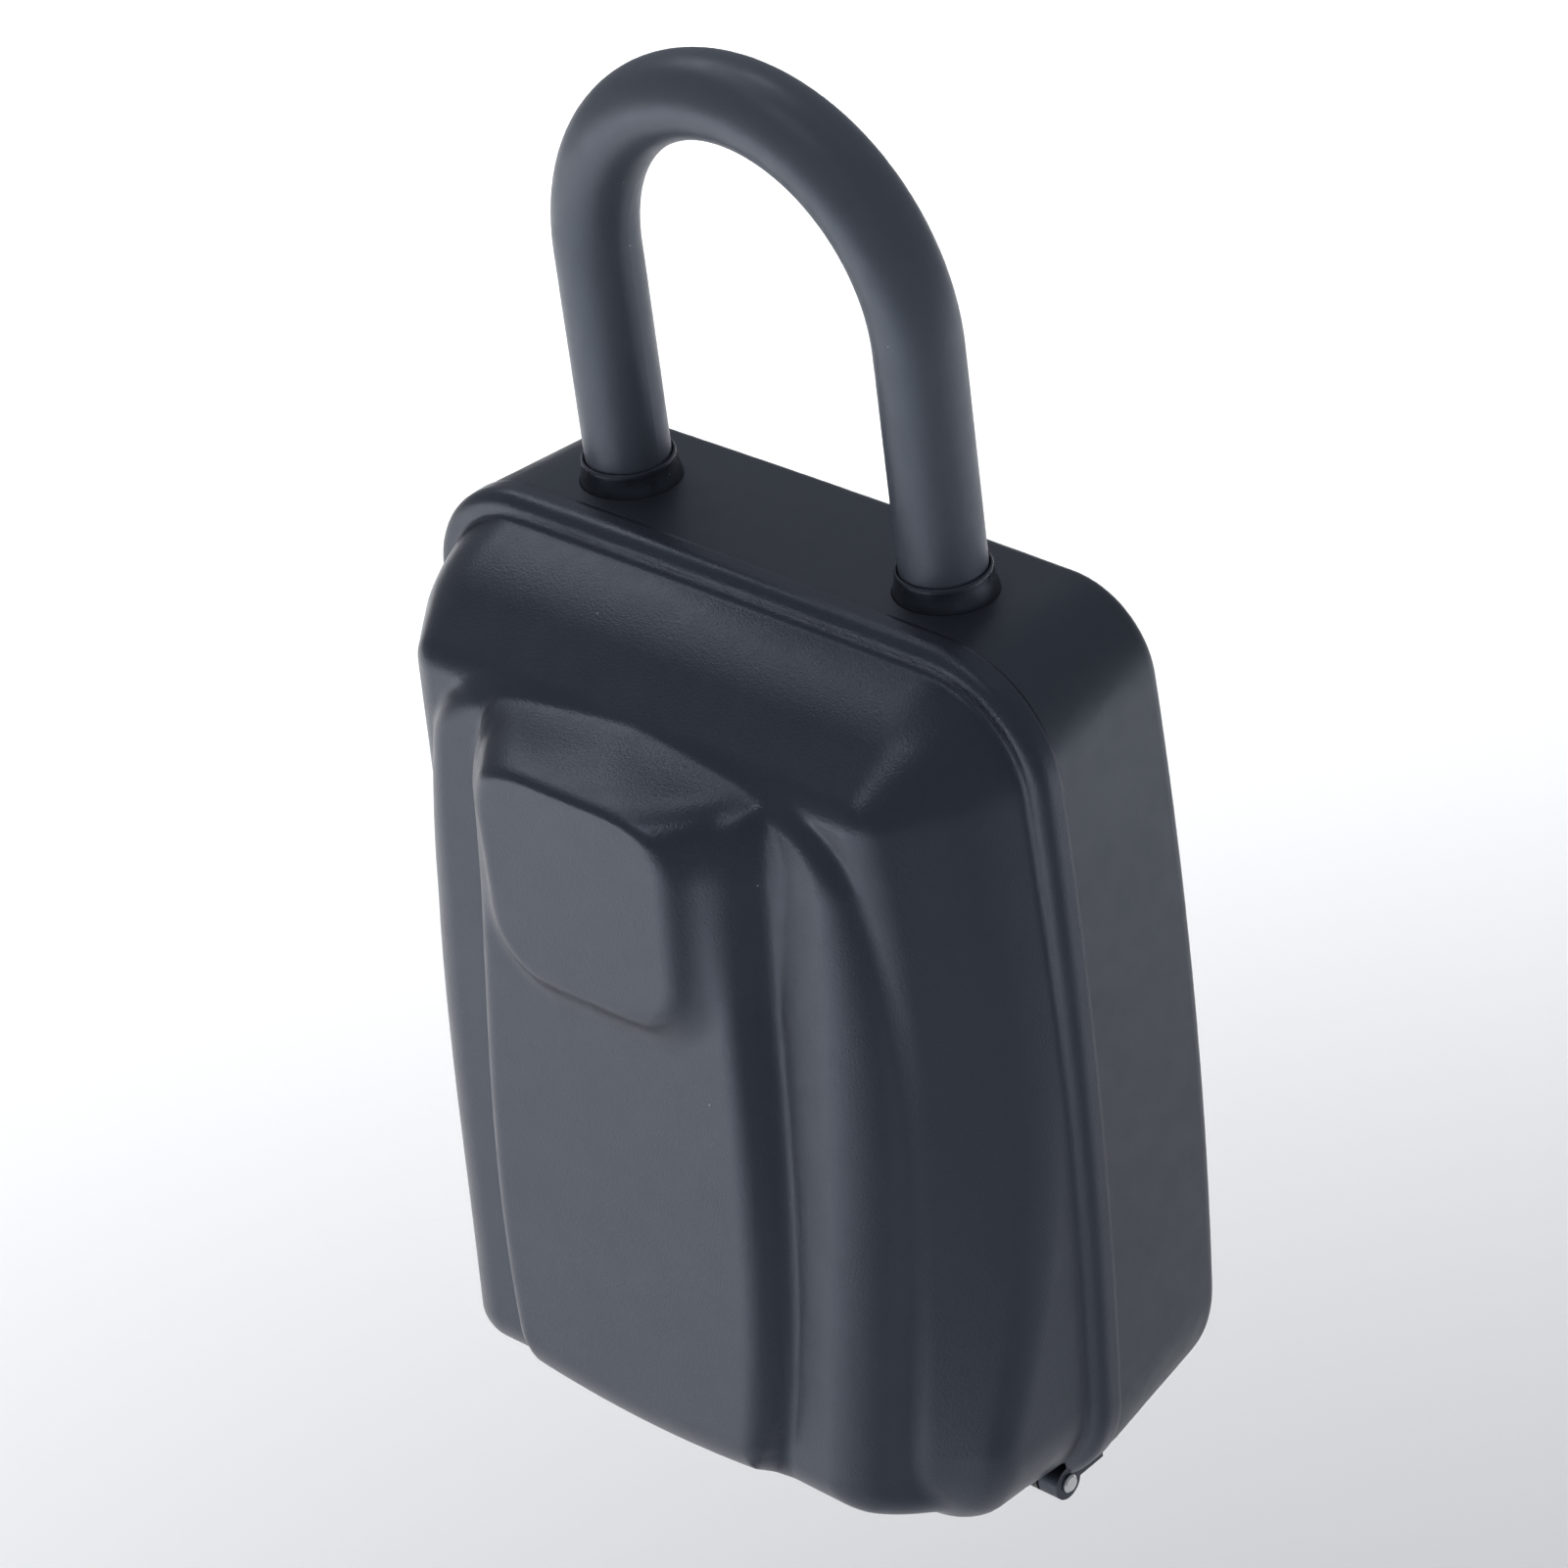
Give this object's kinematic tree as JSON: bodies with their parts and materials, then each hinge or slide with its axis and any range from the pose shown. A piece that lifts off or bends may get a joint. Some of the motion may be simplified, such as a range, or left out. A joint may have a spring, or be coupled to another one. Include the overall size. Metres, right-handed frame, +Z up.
{
  "type": "shackle key lock box",
  "caption": "Portable key safe: cast key case on a removable sleeved shackle, drop-down combination door and a moulded weather cover over the dials.",
  "frame": {"origin": "centre of the shackle's bend, on the centreline of its rod, where the box hangs", "axes": "+Z up, +Y out of the case's flat back, +X to the right of someone who faces the front"},
  "size_m": [0.1032, 0.0612, 0.1906],
  "materials": {
    "case_paint": "fine speckled matte black powder coat over cast zinc",
    "door_paint": "satin black paint over cast zinc",
    "cover_rubber": "fine-grained matte black moulded rubber",
    "hard_steel": "hardened steel with a dull chrome plate",
    "sleeve_vinyl": "matte charcoal vinyl tube",
    "collar_rubber": "smooth near-black rubber with a soft sheen",
    "plated_steel": "zinc-plated sheet steel",
    "fastener_steel": "zinc-plated screws",
    "pin_steel": "bright drawn steel",
    "seal_rubber": "soft black foam rubber",
    "button_plastic": "fine-grained black nylon",
    "spring_steel": "oiled spring steel",
    "dial_plastic": "black acetal with white numbers",
    "cam_brass": "turned brass"
  },
  "bodies": {
    "case": {"rear_case": "case_paint", "shackle_collar_left": "collar_rubber", "shackle_collar_right": "collar_rubber", "lock_cover_plate": "plated_steel", "lock_plate_screws": "fastener_steel", "latch_keeper": "plated_steel", "keeper_screws": "fastener_steel", "hinge_pin": "pin_steel"},
    "shackle": {"shackle_rod": "hard_steel", "shackle_sleeve": "sleeve_vinyl"},
    "shackle_lock": {"shackle_lock_slide": "plated_steel"},
    "door": {"front_door": "door_paint", "door_seal": "seal_rubber", "mechanism_back_plate": "plated_steel", "plate_screws": "fastener_steel", "dial_detent_spring": "spring_steel", "latch_spring": "spring_steel"},
    "cover": {"weather_cover": "cover_rubber"},
    "latch": {"latch_plate": "plated_steel", "open_button": "button_plastic"},
    "code_carriage": {"dial_shaft": "pin_steel", "code_change_lever": "plated_steel", "cam_sleeve_1": "cam_brass", "cam_sleeve_2": "cam_brass", "cam_sleeve_3": "cam_brass", "cam_sleeve_4": "cam_brass"},
    "dial_1": {"dial_wheel_1": "dial_plastic"},
    "dial_2": {"dial_wheel_2": "dial_plastic"},
    "dial_3": {"dial_wheel_3": "dial_plastic"},
    "dial_4": {"dial_wheel_4": "dial_plastic"}
  },
  "joints": [
    {"name": "shackle_release", "type": "slide", "parent": "case", "child": "shackle", "axis": [0, 0, 1], "range_m": [0, 0.04]},
    {"name": "shackle_lock_slide", "type": "slide", "parent": "case", "child": "shackle_lock", "axis": [1, 0, 0], "range_m": [0, 0.0035]},
    {"name": "door_hinge", "type": "hinge", "parent": "case", "child": "door", "pos_m": [0, -0.0115, -0.1566], "axis": [1, 0, 0], "range_deg": [0, 90]},
    {"name": "cover_hinge", "type": "hinge", "parent": "door", "child": "cover", "pos_m": [0, -0.0115, -0.1566], "axis": [1, 0, 0], "range_deg": [0, 90]},
    {"name": "latch_slide", "type": "slide", "parent": "door", "child": "latch", "axis": [0, 0, 1], "range_m": [0, 0.0035], "deforming": ["latch_spring"]},
    {"name": "code_change", "type": "slide", "parent": "door", "child": "code_carriage", "axis": [-1, 0, 0], "range_m": [0, 0.001]},
    {"name": "dial_turn_1", "type": "hinge", "parent": "door", "child": "dial_1", "pos_m": [-0.0081, -0.032, -0.064], "axis": [1, 0, 0], "continuous": true},
    {"name": "dial_turn_2", "type": "hinge", "parent": "door", "child": "dial_2", "pos_m": [-0.0027, -0.032, -0.064], "axis": [1, 0, 0], "continuous": true},
    {"name": "dial_turn_3", "type": "hinge", "parent": "door", "child": "dial_3", "pos_m": [0.0027, -0.032, -0.064], "axis": [1, 0, 0], "continuous": true},
    {"name": "dial_turn_4", "type": "hinge", "parent": "door", "child": "dial_4", "pos_m": [0.0081, -0.032, -0.064], "axis": [1, 0, 0], "continuous": true}
  ]
}
